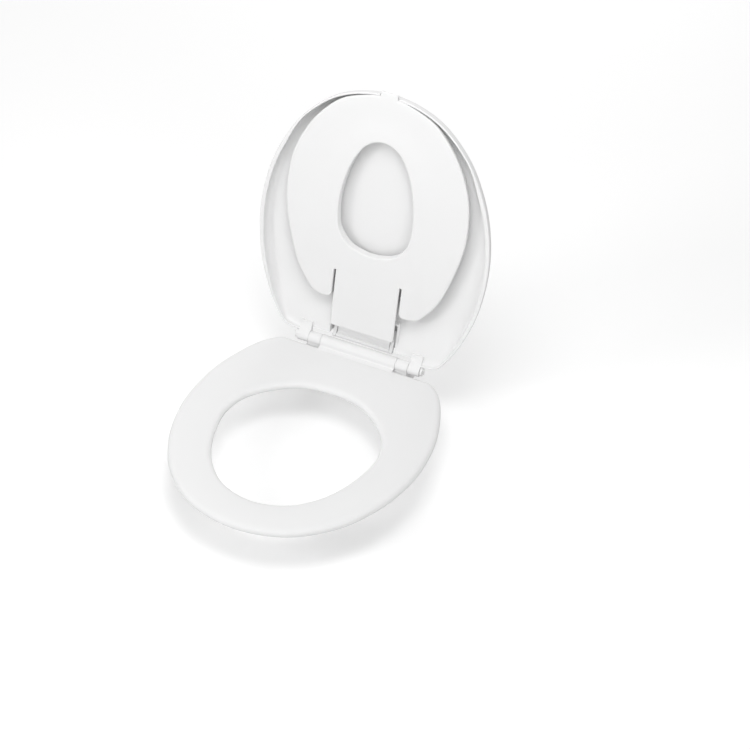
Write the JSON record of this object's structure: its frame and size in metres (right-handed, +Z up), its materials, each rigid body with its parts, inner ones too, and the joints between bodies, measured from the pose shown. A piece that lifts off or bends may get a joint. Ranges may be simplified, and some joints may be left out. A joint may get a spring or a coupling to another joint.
{
  "type": "potty training seat",
  "caption": "Round-front family toilet seat: seat ring, lid and a smaller child ring that is stored in the lid and folds down for potty training.",
  "frame": {"origin": "midway between the two mounting bolts, on the bowl rim's top face", "axes": "+X along the hinge line to the viewer's right, -Y to the front of the seat, +Z up"},
  "size_m": [0.3612, 0.4742, 0.5018],
  "materials": {
    "seat_plastic": "gloss",
    "child_plastic": "gloss",
    "hinge_plastic": "semi gloss",
    "bolt_plastic": "satin",
    "bumper": "matt",
    "steel": "bright",
    "magnet": "dull"
  },
  "bodies": {
    "hinge_base": {"hinge_post_left": "hinge_plastic", "hinge_post_right": "hinge_plastic", "mounting_bolt_left": "bolt_plastic", "mounting_bolt_right": "bolt_plastic", "mounting_nut_left": "bolt_plastic", "mounting_nut_right": "bolt_plastic", "bolt_bushing_left": "bumper", "bolt_bushing_right": "bumper"},
    "seat": {"seat_ring": "seat_plastic", "seat_bumper_front_left": "bumper", "seat_bumper_front_right": "bumper", "seat_bumper_rear_left": "bumper", "seat_bumper_rear_right": "bumper"},
    "lid": {"lid_cover": "seat_plastic", "child_hinge_bracket": "hinge_plastic", "bracket_screw_left": "steel", "bracket_screw_right": "steel", "child_pivot_pin": "steel", "lid_catch_plate": "steel"},
    "child_seat": {"child_ring": "child_plastic", "child_hinge_leaf": "hinge_plastic", "leaf_clip_pin_left": "steel", "leaf_clip_pin_right": "steel", "child_ring_magnet": "magnet", "magnet_cap": "child_plastic"},
    "pin_left": {"hinge_pin_left": "hinge_plastic"},
    "pin_right": {"hinge_pin_right": "hinge_plastic"}
  },
  "joints": [
    {"name": "lid_hinge", "type": "hinge", "parent": "hinge_base", "child": "lid", "pos_m": [0, -0.014, 0.022], "axis": [1, 0, 0], "range_deg": [0, 94.5]},
    {"name": "seat_hinge", "type": "hinge", "parent": "hinge_base", "child": "seat", "pos_m": [0, -0.014, 0.022], "axis": [-1, 0, 0], "range_deg": [0, 94]},
    {"name": "child_ring_hinge", "type": "hinge", "parent": "lid", "child": "child_seat", "pos_m": [0, -0.00275, 0.0317], "axis": [-1, 0, 0], "range_deg": [-94.5, 0]},
    {"name": "left_pin_lock", "type": "hinge", "parent": "hinge_base", "child": "pin_left", "pos_m": [-0.1, -0.014, 0.022], "axis": [1, 0, 0], "range_deg": [0, 90]},
    {"name": "right_pin_lock", "type": "hinge", "parent": "hinge_base", "child": "pin_right", "pos_m": [0.1, -0.014, 0.022], "axis": [1, 0, 0], "range_deg": [0, 90]}
  ]
}
